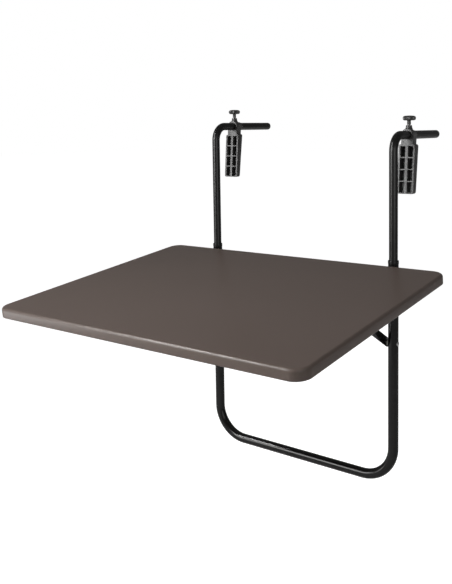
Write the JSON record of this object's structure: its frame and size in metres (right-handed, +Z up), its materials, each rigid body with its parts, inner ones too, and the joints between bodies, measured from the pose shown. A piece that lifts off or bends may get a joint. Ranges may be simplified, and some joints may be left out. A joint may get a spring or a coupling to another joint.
{
  "type": "balcony railing bar table",
  "caption": "Folding bar table that hangs on a balcony railing by two height-adjustable clamp hooks over a U-shaped tube frame with side braces.",
  "frame": {"origin": "railing mount: midway between the hooks, in the middle of the gripped rail, at the underside of the lower (right) hook's arm", "axes": "+X along the railing to the user's right, +Y over the railing away from the user, +Z up"},
  "size_m": [0.78, 0.8623, 0.8954],
  "materials": {
    "taupe_paint": "satin powder coat",
    "black_paint": "satin black powder coat",
    "black_plastic": "moulded, fine texture",
    "bright_steel": "zinc plated",
    "natural_nylon": "moulded",
    "brass": "turned"
  },
  "bodies": {
    "frame": {"u_frame": "black_paint", "leg_collar_right": "black_plastic", "leg_collar_left": "black_plastic", "hinge_stud_right": "bright_steel", "hinge_stud_left": "bright_steel", "hinge_washer_right": "natural_nylon", "hinge_washer_left": "natural_nylon", "strut_rivet_right": "bright_steel", "strut_rivet_left": "bright_steel", "strut_washer_right": "natural_nylon", "strut_washer_left": "natural_nylon", "height_nut_right": "black_paint", "height_nut_left": "black_paint"},
    "tabletop": {"tabletop_panel": "taupe_paint", "top_stiffener_back": "taupe_paint", "top_stiffener_front": "taupe_paint", "side_rail_right": "black_paint", "side_rail_left": "black_paint", "hinge_bracket_right": "black_paint", "hinge_bracket_left": "black_paint", "bracket_rivets_right": "bright_steel", "bracket_rivets_left": "bright_steel"},
    "strut_right": {"strut_right": "black_paint", "strut_tip_rivet_right": "bright_steel"},
    "slider_right": {"slide_block_right": "natural_nylon"},
    "hook_right": {"hook_tube_right": "black_paint", "hook_cap_right": "black_plastic"},
    "clamp_right": {"clamp_jaw_right": "black_plastic", "clamp_insert_right": "brass"},
    "clamp_pad_right": {"clamp_pad_right": "natural_nylon"},
    "clamp_knob_right": {"clamp_screw_right": "bright_steel", "clamp_knob_right": "black_plastic"},
    "height_pad_right": {"height_pad_right": "natural_nylon"},
    "height_knob_right": {"height_screw_right": "bright_steel", "height_knob_right": "black_plastic"},
    "strut_left": {"strut_left": "black_paint", "strut_tip_rivet_left": "bright_steel"},
    "slider_left": {"slide_block_left": "natural_nylon"},
    "hook_left": {"hook_tube_left": "black_paint", "hook_cap_left": "black_plastic"},
    "clamp_left": {"clamp_jaw_left": "black_plastic", "clamp_insert_left": "brass"},
    "clamp_pad_left": {"clamp_pad_left": "natural_nylon"},
    "clamp_knob_left": {"clamp_screw_left": "bright_steel", "clamp_knob_left": "black_plastic"},
    "height_pad_left": {"height_pad_left": "natural_nylon"},
    "height_knob_left": {"height_screw_left": "bright_steel", "height_knob_left": "black_plastic"}
  },
  "joints": [
    {"name": "table_fold", "type": "hinge", "parent": "frame", "child": "tabletop", "pos_m": [0, -0.0375, -0.33], "axis": [1, 0, 0], "range_deg": [-6, 84]},
    {"name": "strut_swing_right", "type": "hinge", "parent": "frame", "child": "strut_right", "pos_m": [0.24105, -0.0375, -0.47], "axis": [1, 0, 0], "range_deg": [-8.3, 115.5]},
    {"name": "slider_travel_right", "type": "slide", "parent": "tabletop", "child": "slider_right", "axis": [0, -0.9945, -0.1045], "range_m": [-0.0128, 0.1781]},
    {"name": "hook_height_right", "type": "slide", "parent": "frame", "child": "hook_right", "axis": [0, 0, 1], "range_m": [0, 0.09]},
    {"name": "clamp_reach_right", "type": "slide", "parent": "hook_right", "child": "clamp_right", "axis": [0, 1, 0], "range_m": [-0.033, 0.13]},
    {"name": "clamp_pad_lift_right", "type": "slide", "parent": "clamp_right", "child": "clamp_pad_right", "axis": [0, 0, 1], "range_m": [0, 0.004]},
    {"name": "clamp_knob_turn_right", "type": "hinge", "parent": "clamp_pad_right", "child": "clamp_knob_right", "pos_m": [0.256, 0.0465, 0.01], "axis": [0, 0, 1], "range_deg": [0, 1441]},
    {"name": "height_pad_lift_right", "type": "slide", "parent": "frame", "child": "height_pad_right", "axis": [1, 0, 0], "range_m": [0, 0.0015]},
    {"name": "height_knob_turn_right", "type": "hinge", "parent": "height_pad_right", "child": "height_knob_right", "pos_m": [0.272, -0.0375, -0.36], "axis": [1, 0, 0], "range_deg": [0, 541]},
    {"name": "strut_swing_left", "type": "hinge", "parent": "frame", "child": "strut_left", "pos_m": [-0.24105, -0.0375, -0.47], "axis": [1, 0, 0], "range_deg": [-8.3, 115.5]},
    {"name": "slider_travel_left", "type": "slide", "parent": "tabletop", "child": "slider_left", "axis": [0, -0.9945, -0.1045], "range_m": [-0.0128, 0.1781]},
    {"name": "hook_height_left", "type": "slide", "parent": "frame", "child": "hook_left", "axis": [0, 0, 1], "range_m": [-0.028, 0.062]},
    {"name": "clamp_reach_left", "type": "slide", "parent": "hook_left", "child": "clamp_left", "axis": [0, 1, 0], "range_m": [-0.033, 0.13]},
    {"name": "clamp_pad_lift_left", "type": "slide", "parent": "clamp_left", "child": "clamp_pad_left", "axis": [0, 0, 1], "range_m": [0, 0.004]},
    {"name": "clamp_knob_turn_left", "type": "hinge", "parent": "clamp_pad_left", "child": "clamp_knob_left", "pos_m": [-0.256, 0.0465, 0.038], "axis": [0, 0, 1], "range_deg": [0, 1441]},
    {"name": "height_pad_lift_left", "type": "slide", "parent": "frame", "child": "height_pad_left", "axis": [-1, 0, 0], "range_m": [0, 0.0015]},
    {"name": "height_knob_turn_left", "type": "hinge", "parent": "height_pad_left", "child": "height_knob_left", "pos_m": [-0.272, -0.0375, -0.36], "axis": [-1, 0, 0], "range_deg": [0, 541]}
  ],
  "couplings": [
    {"joint": "strut_swing_right", "follows": "table_fold", "ratio": 1.3737},
    {"joint": "slider_travel_right", "follows": "table_fold", "m_per_rad": 0.1214},
    {"joint": "clamp_knob_turn_right", "follows": "clamp_pad_lift_right", "rad_per_m": 6283.2},
    {"joint": "height_knob_turn_right", "follows": "height_pad_lift_right", "rad_per_m": 6283.2},
    {"joint": "strut_swing_left", "follows": "table_fold", "ratio": 1.3737},
    {"joint": "slider_travel_left", "follows": "table_fold", "m_per_rad": 0.1214},
    {"joint": "clamp_knob_turn_left", "follows": "clamp_pad_lift_left", "rad_per_m": 6283.2},
    {"joint": "height_knob_turn_left", "follows": "height_pad_lift_left", "rad_per_m": 6283.2}
  ]
}
